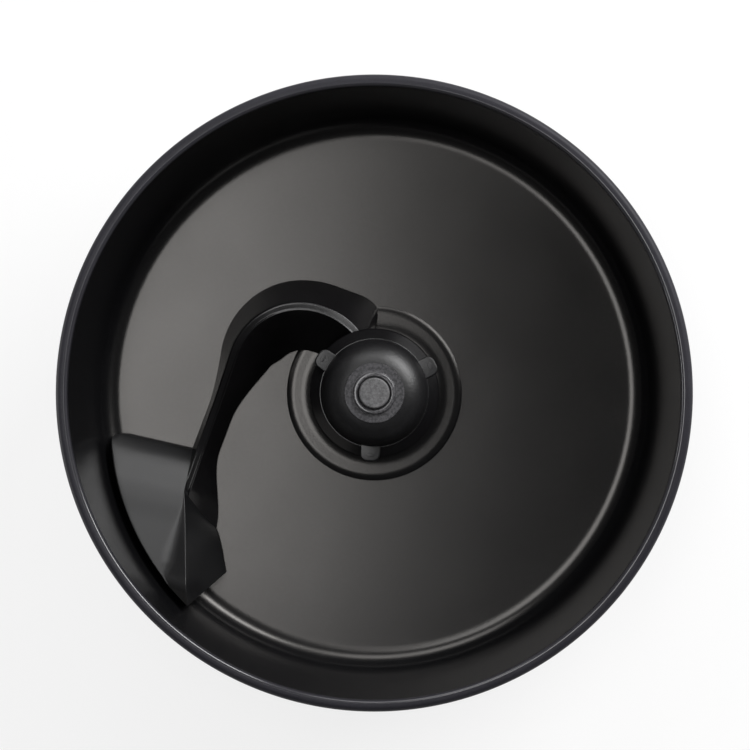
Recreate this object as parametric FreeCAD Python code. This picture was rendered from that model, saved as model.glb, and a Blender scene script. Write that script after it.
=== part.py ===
import FreeCAD, Part
import math
import os
from FreeCAD import Vector

# Cooking bowl with a driven stirring paddle. Millimetres, +Z up, the origin in
# the middle of the plane that the feet stand on.

# Pan
RIM_OUTER_RADIUS = 145.0
BOWL_DEPTH = 75.0            # rim top above the cooking floor
PAN_WALL = 2.5
WALL_DRAFT = 6.2             # degrees from upright
FLOOR_FILLET = 10.0
STAND_HEIGHT = 7.0           # underside of the pan above the table
CHIMNEY_HEIGHT = 36.0        # chimney's flat top above the cooking floor
CHIMNEY_TOP_RADIUS = 19.5
CHIMNEY_FOOT_RADIUS = 25.5
CHIMNEY_FLARE = 12.0
STEP_RADIUS = 42.5           # low raised step around the chimney
STEP_HEIGHT = 1.0

# Rim trim
RIM_OUTER_LIP = 2.1          # trim outside the pan's edge
RIM_INNER_LIP = 0.8          # trim inside the pan's edge
RIM_CROWN = 2.5              # trim above the pan's edge
RIM_SKIRT = 9.0

# Foot ring, its studs and nuts, and the feet
RING_OUTER_RADIUS = 104.0
RING_WIDTH = 34.0
RING_THICKNESS = 1.2
RING_SKIRT = 4.8
RING_NOTCH_WIDTH = 14.0
PAD_SKIRT_GAP = 7.8          # between a pad and the ring's skirt
STUD_RADIUS = 3.0
STUD_LENGTH = 4.8
NUT_FLATS = 10.0
NUT_HEIGHT = 3.2
PAD_RADIUS = 9.0
PAD_STEM_RADIUS = 3.5
HOLE_GAP = 0.1

# Bearing in the chimney's top
BARREL_RADIUS = 10.8
BARREL_LENGTH = 24.0         # below the chimney's top
FLANGE_RADIUS = 17.0
FLANGE_THICKNESS = 3.0
GASKET_THICKNESS = 1.0
HOUSING_NUT_FLATS = 27.0
HOUSING_NUT_HEIGHT = 5.0
BUSH_RADIUS = 6.5
BUSH_LENGTH = 8.0
SEAL_RADIUS = 9.0
SEAL_HEIGHT = 3.5
RUNNING_GAP = 0.03

# Shaft, its head and the coupling below
SHAFT_RADIUS = 4.0
WASHER_RADIUS = 8.0
WASHER_THICKNESS = 1.0
HEAD_FLATS = 12.0
HEAD_HEIGHT = 10.5
CLIP_GROOVE_RADIUS = 4.6
RETAINER_RADIUS = 7.5
RETAINER_THICKNESS = 1.2
RETAINER_GROOVE_RADIUS = 3.4
RETAINER_GAP = 0.2
COUPLING_RADIUS = 12.0
COUPLING_GAP = 0.3
COUPLING_GRIP = 5.0          # length of shaft held by the coupling
SOCKET_RADIUS = 5.0
SOCKET_DEPTH = 10.0
SOCKET_SLOT_WIDTH = 3.5
SOCKET_SLOT_DEPTH = 5.0
PIN_RADIUS = 1.25

# Hub and drive insert
HUB_RADIUS = 30.4
HUB_WALL = 2.6
HUB_FLARE = 0.8              # skirt's foot is this much wider than its top
HUB_SKIRT_LIFT = 12.0        # skirt's foot above the cooking floor
HUB_SHOULDER = 4.0
DECK_RISE = 6.0              # deck's top above the underside of the shaft's head
DECK_THICKNESS = 3.0
INSERT_RADIUS = 9.0
INSERT_CROWN = 1.3
INSERT_GAP = 0.3
HEAD_GAP = 0.1
BOSS_WALL = 2.6

# Cap, bezel, button, spring and wire clip
CAP_RADIUS = 25.0
CAP_HEIGHT = 14.0
CAP_WALL = 2.2
CAP_LEAN = 0.8
CAP_ROUND = 10.0
TAB_WIDTH = 9.3
TAB_REACH = 1.4              # tab's thickness outside the hub's skirt
TAB_DROP = 16.0
TAB_RISE = 1.5
TAB_ROUND = 3.4
TAB_ANGLES = (-94.0, 26.0, 146.0)
BEZEL_RADIUS = 13.9
BEZEL_THICKNESS = 2.0
BEZEL_STAND = 0.5            # bezel's top above the cap's top
LEDGE_WIDTH = 1.9
LEDGE_THICKNESS = 1.5
COLLAR_RADIUS = 9.8
COLLAR_RISE = 1.5
COLLAR_DROP = 1.7
BUTTON_RADIUS = 7.1
BUTTON_GAP = 0.3
BUTTON_RISE = 1.5            # button's top above the collar's top
BUTTON_CROWN = 1.8
BUTTON_WALL = 1.5
BUTTON_FLANGE = 1.5
FLANGE_OVERLAP = 1.2
BUTTON_TRAVEL = 2.5
SPRING_WIRE = 0.9
SPRING_TURNS = 4.5
SPRING_SEAT_GAP = 0.1
CLIP_WIRE = 1.6
CLIP_TAIL = 17.0
CLIP_BEND = -9.0
PRONG_Y = 14.5
PRONG_THICKNESS = 2.6
PRONG_TIP = 2.8              # half widths of the wedge between the clip's legs
PRONG_ROOT = 5.6
FIT_GAP = 0.1

# Paddle: ridge in plan is an arc out of the hub and its tangent line
ARM_CENTRE = (-35.0, 7.0)
ARM_RADIUS = 34.0
ARM_START = 25.0             # degrees around the arc's centre
ARM_END = 159.3
ARM_STRAIGHT = 68.8
ARM_ROOT_HEIGHT = 46.5       # ridge above the cooking floor
ARM_TIP_HEIGHT = 16.0
ARM_ROOT_OUTER = 14.0        # half widths of the section at its foot
ARM_ROOT_INNER = 20.0
ARM_TIP_OUTER = 4.2
ARM_TIP_INNER = 8.6
ARM_RIDGE_ROUND = 1.5
ARM_WALL = 2.6
PADDLE_FLOOR_GAP = 2.0
PADDLE_WALL_GAP = 3.5
PADDLE_CHIMNEY_GAP = 1.5

# Blade: sections across its travel, from its nose to its tail, as
# (distance behind the arm's end, height above the floor, ridge, inner foot)
BLADE_EDGE_ANGLE = 167.2
BLADE_SECTIONS = (
    (-18.7, 3.4, -2.6, -2.7),
    (-11.0, 10.0, -1.5, -2.5),
    (0.0, 16.0, 0.0, -8.7),
    (18.0, 24.2, -5.2, -19.0),
    (36.7, 32.7, -10.7, -27.8),
    (60.0, 43.4, -17.5, -38.8),
)
BLADE_TAIL = ((-27.8, 36.7), (-15.3, 52.6))   # plan line, across and behind, that ends the blade
BLADE_WALL = 3.0
BLADE_POCKETS = ((-9.0, 1.0, 6.5), (5.0, 20.0, None), (22.5, 48.0, None))
SCREW_RADIUS = 1.6
SCREW_HEAD_RADIUS = 2.4
SCREW_HEAD_HEIGHT = 1.6
SCREW_LENGTH = 14.0
SCREW_LIFT = 6.0
SCREW_SEAT = 6.2             # from the arm's end to the underside of the head

# Levels and radii that follow from the sizes above
floor_z = STAND_HEIGHT + PAN_WALL
rim_z = floor_z + BOWL_DEPTH
edge_z = rim_z - RIM_CROWN
chimney_z = floor_z + CHIMNEY_HEIGHT
flange_z = chimney_z + GASKET_THICKNESS
housing_z = flange_z + FLANGE_THICKNESS
barrel_z = chimney_z - BARREL_LENGTH
head_z = housing_z + WASHER_THICKNESS
head_top_z = head_z + HEAD_HEIGHT
deck_z = head_z + DECK_RISE
insert_z = head_z + INSERT_GAP
insert_top_z = head_top_z + HEAD_GAP + INSERT_CROWN
boss_radius = INSERT_RADIUS + BOSS_WALL
cap_z = deck_z + CAP_HEIGHT
bezel_z = cap_z + BEZEL_STAND
collar_z = bezel_z + COLLAR_RISE
collar_foot_z = bezel_z - BEZEL_THICKNESS - COLLAR_DROP
button_z = collar_z + BUTTON_RISE
button_flange_z = collar_foot_z - BUTTON_GAP
button_ceiling_z = button_z - BUTTON_CROWN
clip_z = deck_z + FIT_GAP + CLIP_WIRE / 2
clip_leg_x = CLIP_GROOVE_RADIUS + CLIP_WIRE / 2 + FIT_GAP
retainer_z = barrel_z - RETAINER_GAP
coupling_top_z = retainer_z - RETAINER_THICKNESS - COUPLING_GAP
shaft_foot_z = coupling_top_z - COUPLING_GRIP
coupling_z = shaft_foot_z - SOCKET_DEPTH
wall_slope = math.tan(math.radians(WALL_DRAFT))
edge_radius = RIM_OUTER_RADIUS - RIM_OUTER_LIP - PAN_WALL
corner_radius = edge_radius - (edge_z - floor_z) * wall_slope
paddle_z = floor_z + PADDLE_FLOOR_GAP
ring_inner_radius = RING_OUTER_RADIUS - RING_WIDTH
foot_circle_radius = RING_OUTER_RADIUS - RING_THICKNESS - PAD_SKIRT_GAP - PAD_RADIUS


def corner_arc(before, corner, after, radius):
    # start, middle and end of the tangent arc that rounds a corner
    to_before = (before - corner).normalize()
    to_after = (after - corner).normalize()
    half = to_before.getAngle(to_after) / 2
    run = radius / math.tan(half)
    bisector = (to_before + to_after).normalize()
    centre = corner + bisector * (radius / math.sin(half))
    return corner + to_before * run, centre - bisector * radius, corner + to_after * run


def outline(corners, place):
    # closed outline; a corner is (a, b) when sharp and (a, b, radius) when rounded
    points = [place(corner[0], corner[1]) for corner in corners]
    spans = []
    for index, corner in enumerate(corners):
        point = points[index]
        if len(corner) == 3:
            following = points[(index + 1) % len(points)]
            spans.append(corner_arc(points[index - 1], point, following, corner[2]))
        else:
            spans.append((point, None, point))
    edges = []
    for index, (start, middle, end) in enumerate(spans):
        previous = spans[index - 1][2]
        if previous.distanceToPoint(start) > 1e-6:
            edges.append(Part.LineSegment(previous, start).toShape())
        if middle is not None:
            edges.append(Part.Arc(start, middle, end).toShape())
    return Part.Wire(edges)


def turned(corners):
    face = Part.Face(outline(corners, lambda radius, z: Vector(radius, 0, z)))
    return face.revolve(Vector(0, 0, 0), Vector(0, 0, 1), 360)


def cylinder(radius, bottom, top, x=0, y=0):
    return Part.makeCylinder(radius, top - bottom, Vector(x, y, bottom))


def tube(outer, inner, bottom, top):
    return cylinder(outer, bottom, top).cut(cylinder(inner, bottom - 1, top + 1))


def box(x_low, x_high, y_low, y_high, z_low, z_high):
    return Part.makeBox(x_high - x_low, y_high - y_low, z_high - z_low, Vector(x_low, y_low, z_low))


def hexagon(flats, bottom, top):
    reach = flats / math.sqrt(3)
    corners = [(reach * math.cos(math.radians(60 * i)), reach * math.sin(math.radians(60 * i))) for i in range(6)]
    face = Part.Face(outline(corners, lambda x, y: Vector(x, y, bottom)))
    return face.extrude(Vector(0, 0, top - bottom))


def spun(shape, angle):
    copy = shape.copy()
    copy.rotate(Vector(0, 0, 0), Vector(0, 0, 1), angle)
    return copy


def on_circle(shape, angles):
    return [spun(shape, angle) for angle in angles]


def smooth(value, low, high):
    share = min(max((value - low) / (high - low), 0.0), 1.0)
    return share * share * (3 - 2 * share)


stud_angles = (90.0, 210.0, 330.0)
pad_angles = (30.0, 150.0, 270.0)


def make_pan():
    slant = PAN_WALL / math.cos(math.radians(WALL_DRAFT))
    step_z = floor_z + STEP_HEIGHT
    under_corner = corner_radius + slant - PAN_WALL * wall_slope
    pan = turned([
        (BARREL_RADIUS + FIT_GAP, chimney_z),
        (CHIMNEY_TOP_RADIUS, chimney_z, 2.0),
        (CHIMNEY_FOOT_RADIUS, step_z, CHIMNEY_FLARE),
        (STEP_RADIUS, step_z, STEP_HEIGHT * 0.4),
        (STEP_RADIUS + STEP_HEIGHT * 0.4, floor_z, STEP_HEIGHT * 0.4),
        (corner_radius, floor_z, FLOOR_FILLET),
        (edge_radius, edge_z),
        (edge_radius + PAN_WALL, edge_z),
        (under_corner, STAND_HEIGHT, FLOOR_FILLET + PAN_WALL),
        (CHIMNEY_FOOT_RADIUS - PAN_WALL, STAND_HEIGHT, CHIMNEY_FLARE + PAN_WALL),
        (CHIMNEY_TOP_RADIUS - PAN_WALL, chimney_z - PAN_WALL, 1.0),
        (BARREL_RADIUS + FIT_GAP, chimney_z - PAN_WALL),
    ])
    stud = cylinder(STUD_RADIUS, STAND_HEIGHT - STUD_LENGTH, STAND_HEIGHT + PAN_WALL / 2, foot_circle_radius)
    return pan.fuse(on_circle(stud, stud_angles)).removeSplitter()


def make_rim(pan):
    inner = edge_radius - RIM_INNER_LIP
    skirt_z = rim_z - RIM_SKIRT
    lip_z = rim_z - RIM_SKIRT / 2
    middle = edge_radius + PAN_WALL / 2
    ring = turned([
        (inner, rim_z, 1.4),
        (RIM_OUTER_RADIUS, rim_z, 2.2),
        (RIM_OUTER_RADIUS, skirt_z, 0.6),
        (middle - (edge_z - skirt_z) * wall_slope, skirt_z),
        (middle - (edge_z - lip_z) * wall_slope, lip_z),
        (inner, lip_z, 0.2),
    ])
    return ring.cut(pan)


def make_foot_ring():
    foot_z = STAND_HEIGHT - RING_SKIRT
    ring = turned([
        (ring_inner_radius, STAND_HEIGHT),
        (RING_OUTER_RADIUS, STAND_HEIGHT, RING_THICKNESS * 1.5),
        (RING_OUTER_RADIUS, foot_z),
        (RING_OUTER_RADIUS - RING_THICKNESS, foot_z),
        (RING_OUTER_RADIUS - RING_THICKNESS, STAND_HEIGHT - RING_THICKNESS, RING_THICKNESS * 0.5),
        (ring_inner_radius, STAND_HEIGHT - RING_THICKNESS),
    ])
    half = RING_NOTCH_WIDTH / 2
    notch = box(RING_OUTER_RADIUS - 6, RING_OUTER_RADIUS + 4, -half, half, foot_z - 1, foot_z + RING_SKIRT / 2)
    stud_hole = cylinder(STUD_RADIUS + HOLE_GAP, 0, STAND_HEIGHT + 1, foot_circle_radius)
    stem_hole = cylinder(PAD_STEM_RADIUS + HOLE_GAP, 0, STAND_HEIGHT + 1, foot_circle_radius)
    return ring.cut(on_circle(notch, (0, 120, 240)) + on_circle(stud_hole, stud_angles)
                    + on_circle(stem_hole, pad_angles))


def make_foot_ring_nuts():
    top = STAND_HEIGHT - RING_THICKNESS
    nut = hexagon(NUT_FLATS, top - NUT_HEIGHT, top).cut(cylinder(STUD_RADIUS + HOLE_GAP, 0, STAND_HEIGHT))
    nut.translate(Vector(foot_circle_radius, 0, 0))
    return Part.makeCompound(on_circle(nut, stud_angles))


def make_foot_pads():
    top = STAND_HEIGHT - RING_THICKNESS
    pad = turned([
        (0, 0),
        (PAD_RADIUS, 0, 1.2),
        (PAD_RADIUS, top, 0.8),
        (PAD_STEM_RADIUS, top),
        (PAD_STEM_RADIUS, STAND_HEIGHT),
        (0, STAND_HEIGHT),
    ])
    pad.translate(Vector(foot_circle_radius, 0, 0))
    return Part.makeCompound(on_circle(pad, pad_angles))


def make_housing():
    bore = BUSH_RADIUS - 1
    seal_z = housing_z - SEAL_HEIGHT
    return turned([
        (bore, barrel_z + BUSH_LENGTH),
        (BUSH_RADIUS, barrel_z + BUSH_LENGTH),
        (BUSH_RADIUS, barrel_z),
        (BARREL_RADIUS, barrel_z, 0.6),
        (BARREL_RADIUS, flange_z),
        (FLANGE_RADIUS, flange_z),
        (FLANGE_RADIUS, housing_z, 1.0),
        (SEAL_RADIUS, housing_z),
        (SEAL_RADIUS, seal_z),
        (BUSH_RADIUS, seal_z),
        (BUSH_RADIUS, seal_z - BUSH_LENGTH),
        (bore, seal_z - BUSH_LENGTH),
    ])


def make_housing_nut():
    top = chimney_z - PAN_WALL
    nut = hexagon(HOUSING_NUT_FLATS, top - HOUSING_NUT_HEIGHT, top)
    return nut.cut(cylinder(BARREL_RADIUS + FIT_GAP, top - HOUSING_NUT_HEIGHT - 1, top + 1))


def make_shaft():
    groove_z = retainer_z - RETAINER_THICKNESS
    shaft = turned([
        (0, shaft_foot_z),
        (SHAFT_RADIUS, shaft_foot_z),
        (SHAFT_RADIUS, groove_z),
        (RETAINER_GROOVE_RADIUS, groove_z),
        (RETAINER_GROOVE_RADIUS, retainer_z),
        (SHAFT_RADIUS, retainer_z),
        (SHAFT_RADIUS, head_z),
        (0, head_z),
    ])
    head = hexagon(HEAD_FLATS, head_z, head_top_z)
    dome = turned([(0, head_z), (HEAD_FLATS, head_z), (HEAD_FLATS / 2 - 1, head_top_z), (0, head_top_z)])
    half = CLIP_WIRE / 2 + FIT_GAP
    groove = tube(HEAD_FLATS, CLIP_GROOVE_RADIUS, clip_z - half, clip_z + half)
    pin_hole = Part.makeCylinder(PIN_RADIUS, 4 * SHAFT_RADIUS, Vector(-2 * SHAFT_RADIUS, 0, pin_level()), Vector(1, 0, 0))
    return shaft.fuse(head.common(dome).cut(groove)).cut(pin_hole).removeSplitter()


def pin_level():
    return coupling_top_z - COUPLING_GRIP / 2


def make_retainer():
    ring = tube(RETAINER_RADIUS, RETAINER_GROOVE_RADIUS, retainer_z - RETAINER_THICKNESS, retainer_z)
    gap = box(0, RETAINER_RADIUS + 1, -SHAFT_RADIUS * 0.7, SHAFT_RADIUS * 0.7,
              retainer_z - RETAINER_THICKNESS - 1, retainer_z + 1)
    return ring.cut(gap)


def make_coupling():
    body = turned([
        (SOCKET_RADIUS, coupling_z),
        (COUPLING_RADIUS, coupling_z, 1.0),
        (COUPLING_RADIUS, coupling_top_z, 1.5),
        (SHAFT_RADIUS, coupling_top_z),
        (SHAFT_RADIUS, shaft_foot_z),
        (SOCKET_RADIUS, shaft_foot_z),
    ])
    half = SOCKET_SLOT_WIDTH / 2
    reach = COUPLING_RADIUS + 1
    slot = box(-reach, reach, -half, half, coupling_z - 1, coupling_z + SOCKET_SLOT_DEPTH)
    pin_hole = Part.makeCylinder(PIN_RADIUS, 2 * reach, Vector(-reach, 0, pin_level()), Vector(1, 0, 0))
    return body.cut([slot, pin_hole])


def make_pin():
    length = 2 * COUPLING_RADIUS - 2
    return Part.makeCylinder(PIN_RADIUS, length, Vector(-length / 2, 0, pin_level()), Vector(1, 0, 0))


def clip_slots():
    # windows in the boss and the insert for the two legs of the wire clip
    low = clip_leg_x - CLIP_WIRE - FIT_GAP
    high = clip_leg_x + CLIP_WIRE
    reach = boss_radius + 1
    top = clip_z + CLIP_WIRE / 2 + 2 * FIT_GAP
    return [box(low, high, -reach, reach, deck_z, top), box(-high, -low, -reach, reach, deck_z, top)]


def make_insert():
    insert = cylinder(INSERT_RADIUS, insert_z, insert_top_z)
    socket = hexagon(HEAD_FLATS + 2 * HEAD_GAP, insert_z - 1, head_top_z + HEAD_GAP)
    return insert.cut([socket] + clip_slots())


def hub_profile():
    foot_z = floor_z + HUB_SKIRT_LIFT
    under_z = deck_z - DECK_THICKNESS
    return [
        (INSERT_RADIUS, insert_z),
        (boss_radius, insert_z),
        (boss_radius, under_z, 1.0),
        (HUB_RADIUS - HUB_WALL, under_z, 2.0),
        (HUB_RADIUS + HUB_FLARE - HUB_WALL, foot_z),
        (HUB_RADIUS + HUB_FLARE, foot_z, 0.8),
        (HUB_RADIUS, deck_z, HUB_SHOULDER),
        (boss_radius, deck_z),
        (boss_radius, insert_top_z),
        (INSERT_RADIUS, insert_top_z),
    ]


def hub_block():
    # the hub filled in, used to shape what fits against it
    foot_z = floor_z + HUB_SKIRT_LIFT
    return turned([
        (0, foot_z),
        (HUB_RADIUS + HUB_FLARE, foot_z, 0.8),
        (HUB_RADIUS, deck_z, HUB_SHOULDER),
        (0, deck_z),
    ])


def paddle_room():
    # the space in the pan that the paddle may fill
    top = rim_z
    chimney_gap = CHIMNEY_TOP_RADIUS + PADDLE_CHIMNEY_GAP
    foot_gap = CHIMNEY_FOOT_RADIUS + PADDLE_CHIMNEY_GAP
    return turned([
        (chimney_gap, top),
        (chimney_gap, chimney_z),
        (foot_gap, paddle_z, CHIMNEY_FLARE - PADDLE_CHIMNEY_GAP),
        (corner_radius - PADDLE_WALL_GAP, paddle_z, FLOOR_FILLET - PADDLE_FLOOR_GAP),
        (corner_radius - PADDLE_WALL_GAP + (top - floor_z) * wall_slope, top),
    ])


arm_arc = math.radians(ARM_END - ARM_START) * ARM_RADIUS
arm_length = arm_arc + ARM_STRAIGHT
end_angle = math.radians(ARM_END)
arm_out = Vector(math.cos(end_angle), math.sin(end_angle), 0)
arm_along = Vector(-math.sin(end_angle), math.cos(end_angle), 0)


def arm_point(run):
    # plan position of the ridge and the outward direction at a length along it
    angle = math.radians(ARM_START) + min(run, arm_arc) / ARM_RADIUS
    out = Vector(math.cos(angle), math.sin(angle), 0)
    point = Vector(ARM_CENTRE[0], ARM_CENTRE[1], 0) + out * ARM_RADIUS
    return point + arm_along * max(run - arm_arc, 0), out


def arm_section(run, wall):
    # triangle with a rounded ridge, drawn in by a wall thickness
    point, out = arm_point(run)
    share = run / arm_length
    ridge = floor_z + ARM_ROOT_HEIGHT + (ARM_TIP_HEIGHT - ARM_ROOT_HEIGHT) * smooth(share, 0.33, 1.01)
    outer = ARM_ROOT_OUTER + (ARM_TIP_OUTER - ARM_ROOT_OUTER) * smooth(share, 0.27, 0.74)
    inner = ARM_ROOT_INNER + (ARM_TIP_INNER - ARM_ROOT_INNER) * smooth(share, 0.43, 0.75)
    height = ridge - paddle_z
    outer_slant = math.hypot(outer, height)
    inner_slant = math.hypot(inner, height)
    drop = wall * (outer_slant + inner_slant) / (outer + inner)
    apex = (outer * drop - wall * outer_slant) / height
    below = 1.5 if wall == 0 else 3.0
    corners = [
        (outer - wall * outer_slant / height + below * outer / height, paddle_z - below),
        (apex, ridge - drop, ARM_RIDGE_ROUND),
        (-inner + wall * inner_slant / height - below * inner / height, paddle_z - below),
    ]
    return outline(corners, lambda across, z: point + out * across + Vector(0, 0, z))


def arm_loft(start, end, wall):
    count = 14
    runs = [start + (end - start) * i / (count - 1) for i in range(count)]
    return Part.makeLoft([arm_section(run, wall) for run in runs], True, False)


def arm_block(room):
    # arm without its hollow, ending at the plane where the blade meets it
    return arm_loft(0, arm_length, 0).common(room)


def screw_axis():
    point, out = arm_point(arm_length)
    return point - out * 0.6 + Vector(0, 0, floor_z + SCREW_LIFT), arm_along


def make_paddle_body(arm):
    core = cylinder(HUB_RADIUS - HUB_WALL / 2, 0, deck_z - DECK_THICKNESS / 2)
    hollow_start = math.radians(58.0 - ARM_START) * ARM_RADIUS
    hollow = arm_loft(hollow_start, arm_length - 1.3 * SCREW_LENGTH, ARM_WALL)
    point, along = screw_axis()
    pilot = Part.makeCylinder(SCREW_RADIUS, SCREW_LENGTH, point - along * SCREW_LENGTH, along)
    hub = turned(hub_profile()).cut(clip_slots())
    return hub.fuse(arm.cut(core)).cut([hollow, pilot]).removeSplitter()


def blade_values(station):
    # height, ridge and inner foot between the listed sections
    for before, after in zip(BLADE_SECTIONS, BLADE_SECTIONS[1:]):
        if station <= after[0]:
            share = (station - before[0]) / (after[0] - before[0])
            return [low + (high - low) * share for low, high in zip(before[1:], after[1:])]
    return list(BLADE_SECTIONS[-1][1:])


def blade_place(across, behind, z):
    # from the blade's own directions, along its nose and behind it, to the pan
    origin, _ = arm_point(arm_length)
    angle = math.radians(BLADE_EDGE_ANGLE)
    along_nose = Vector(math.cos(angle), math.sin(angle), 0)
    backwards = Vector(-math.sin(angle), math.cos(angle), 0)
    return origin + along_nose * across + backwards * behind + Vector(0, 0, z)


def blade_wire(station, height, ridge, foot, bottom):
    reach = RIM_OUTER_RADIUS / 2
    corners = [(reach, bottom), (reach, floor_z + height), (ridge, floor_z + height), (foot, bottom)]
    return outline(corners, lambda across, z: blade_place(across, station, z))


def blade_end(wall):
    # everything behind the tail line, drawn forward by a wall thickness
    low, high = [blade_place(across, behind, 0) for across, behind in BLADE_TAIL]
    along = (high - low).normalize()
    back = Vector(-along.y, along.x, 0)
    if back * (blade_place(0, 1, 0) - blade_place(0, 0, 0)) < 0:
        back = back * -1
    start = low - along * RIM_OUTER_RADIUS - back * wall
    corners = [start, start + along * (2 * RIM_OUTER_RADIUS)]
    corners += [corners[1] + back * RIM_OUTER_RADIUS, start + back * RIM_OUTER_RADIUS]
    face = Part.Face(Part.makePolygon(corners + corners[:1]))
    return face.extrude(Vector(0, 0, rim_z))


def blade_pocket(start, end, side):
    wires = []
    for station in (start, end):
        height, ridge, foot = blade_values(station)
        inner_ridge = ridge + 0.3 * BLADE_WALL if side is None else side
        inner_foot = foot + 1.2 * BLADE_WALL if side is None else side
        wires.append(blade_wire(station, height - 1.15 * BLADE_WALL, inner_ridge, inner_foot, paddle_z - 1))
    return Part.makeLoft(wires, True, True)


def make_blade(room, arm):
    wires = [blade_wire(*section, paddle_z - 1.5) for section in BLADE_SECTIONS]
    block = Part.makeLoft(wires, True, False).common(room).cut([arm, blade_end(0)])
    inset = PADDLE_WALL_GAP + BLADE_WALL
    inside = turned([
        (0, 0),
        (corner_radius - inset - FLOOR_FILLET / 2, 0),
        (corner_radius - inset - FLOOR_FILLET / 2, floor_z + FLOOR_FILLET / 2),
        (corner_radius - inset, floor_z + FLOOR_FILLET),
        (corner_radius - inset + (rim_z - floor_z) * wall_slope, rim_z),
        (0, rim_z),
    ])
    end = blade_end(BLADE_WALL)
    pockets = [blade_pocket(*pocket).common(inside).cut(end) for pocket in BLADE_POCKETS]
    point, along = screw_axis()
    shank_hole = Part.makeCylinder(SCREW_RADIUS, 2 * SCREW_LENGTH, point - along * SCREW_LENGTH, along)
    head_room = Part.makeCylinder(SCREW_HEAD_RADIUS + HOLE_GAP, SCREW_LENGTH, point + along * SCREW_SEAT, along)
    blade = block.cut(pockets).cut([shank_hole, head_room])
    return max(blade.Solids, key=lambda solid: solid.Volume)


def make_blade_screw():
    point, along = screw_axis()
    shank = Part.makeCylinder(SCREW_RADIUS, SCREW_LENGTH + SCREW_SEAT - 1, point - along * (SCREW_LENGTH - 1), along)
    head = Part.makeCylinder(SCREW_HEAD_RADIUS, SCREW_HEAD_HEIGHT, point + along * SCREW_SEAT, along)
    return shank.fuse(head).removeSplitter()


def make_cap(block):
    wall_in = CAP_RADIUS - CAP_WALL
    ledge_z = bezel_z - BEZEL_THICKNESS
    opening = BEZEL_RADIUS + FIT_GAP
    shell = turned([
        (wall_in, deck_z),
        (CAP_RADIUS, deck_z),
        (CAP_RADIUS - CAP_LEAN, cap_z, CAP_ROUND),
        (opening, cap_z),
        (opening, ledge_z),
        (opening - LEDGE_WIDTH, ledge_z),
        (opening - LEDGE_WIDTH, ledge_z - LEDGE_THICKNESS),
        (wall_in - CAP_LEAN, ledge_z - LEDGE_THICKNESS, 0.7 * CAP_ROUND),
    ])
    reach = HUB_RADIUS + TAB_REACH
    half = TAB_WIDTH / 2
    top = deck_z + TAB_RISE
    corners = [(CAP_RADIUS - CAP_WALL, -half), (reach, -half, TAB_ROUND), (reach, half, TAB_ROUND),
               (CAP_RADIUS - CAP_WALL, half)]
    plan = Part.Face(outline(corners, lambda x, y: Vector(x, y, top - TAB_DROP)))
    tab = plan.extrude(Vector(0, 0, TAB_DROP)).cut(block)
    tab = tab.cut(cylinder(CAP_RADIUS - CAP_WALL / 2, 0, rim_z))
    return shell.fuse(on_circle(tab, TAB_ANGLES)).removeSplitter()


def make_bezel():
    bore = BUTTON_RADIUS + BUTTON_GAP
    return turned([
        (bore, collar_foot_z),
        (COLLAR_RADIUS, collar_foot_z),
        (COLLAR_RADIUS, bezel_z - BEZEL_THICKNESS),
        (BEZEL_RADIUS, bezel_z - BEZEL_THICKNESS),
        (BEZEL_RADIUS, bezel_z, 0.4),
        (COLLAR_RADIUS, bezel_z, 0.3),
        (COLLAR_RADIUS, collar_z, 0.6),
        (bore, collar_z, 0.4),
    ])


def make_button():
    flange_foot = button_flange_z - BUTTON_FLANGE
    inside = BUTTON_RADIUS - BUTTON_WALL
    cup = turned([
        (0, button_ceiling_z),
        (inside, button_ceiling_z),
        (inside, flange_foot),
        (BUTTON_RADIUS + FLANGE_OVERLAP, flange_foot),
        (BUTTON_RADIUS + FLANGE_OVERLAP, button_flange_z),
        (BUTTON_RADIUS, button_flange_z),
        (BUTTON_RADIUS, button_z, 0.8),
        (0, button_z),
    ])
    y_low = PRONG_Y - PRONG_THICKNESS / 2
    y_high = PRONG_Y + PRONG_THICKNESS / 2
    arm = box(-PRONG_TIP, PRONG_TIP, BUTTON_RADIUS, y_high, flange_foot, button_flange_z)
    tip_z = deck_z + BUTTON_TRAVEL + BUTTON_GAP
    wide_z = tip_z + BUTTON_TRAVEL
    corners = [(-PRONG_TIP, tip_z), (PRONG_TIP, tip_z), (PRONG_ROOT, wide_z), (PRONG_TIP, flange_foot + 0.5),
               (-PRONG_TIP, flange_foot + 0.5), (-PRONG_ROOT, wide_z)]
    wedge = Part.Face(outline(corners, lambda x, z: Vector(x, y_low, z))).extrude(Vector(0, PRONG_THICKNESS, 0))
    return cup.fuse([arm, wedge]).removeSplitter()


def make_spring():
    # one unbroken tube along quarter-turn arcs
    radius = BUTTON_RADIUS - BUTTON_WALL - SPRING_WIRE / 2 - BUTTON_GAP
    low = insert_top_z + SPRING_WIRE / 2 + SPRING_SEAT_GAP
    pitch = (button_ceiling_z - insert_top_z - SPRING_WIRE - 2 * SPRING_SEAT_GAP) / SPRING_TURNS

    def coil_point(turn):
        angle = 2 * math.pi * turn
        return Vector(radius * math.cos(angle), radius * math.sin(angle), low + pitch * turn)

    quarters = [quarter / 4 for quarter in range(int(4 * SPRING_TURNS))]
    arcs = [Part.Arc(coil_point(t), coil_point(t + 0.125), coil_point(t + 0.25)).toShape() for t in quarters]
    lead = arcs[0].tangentAt(arcs[0].FirstParameter)
    ring = Part.Wire(Part.Circle(coil_point(0), lead, SPRING_WIRE / 2).toShape())
    print("least gap between the spring's turns", round(pitch - SPRING_WIRE, 2))
    return Part.Wire(arcs).makePipeShell([ring], True, False)


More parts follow.
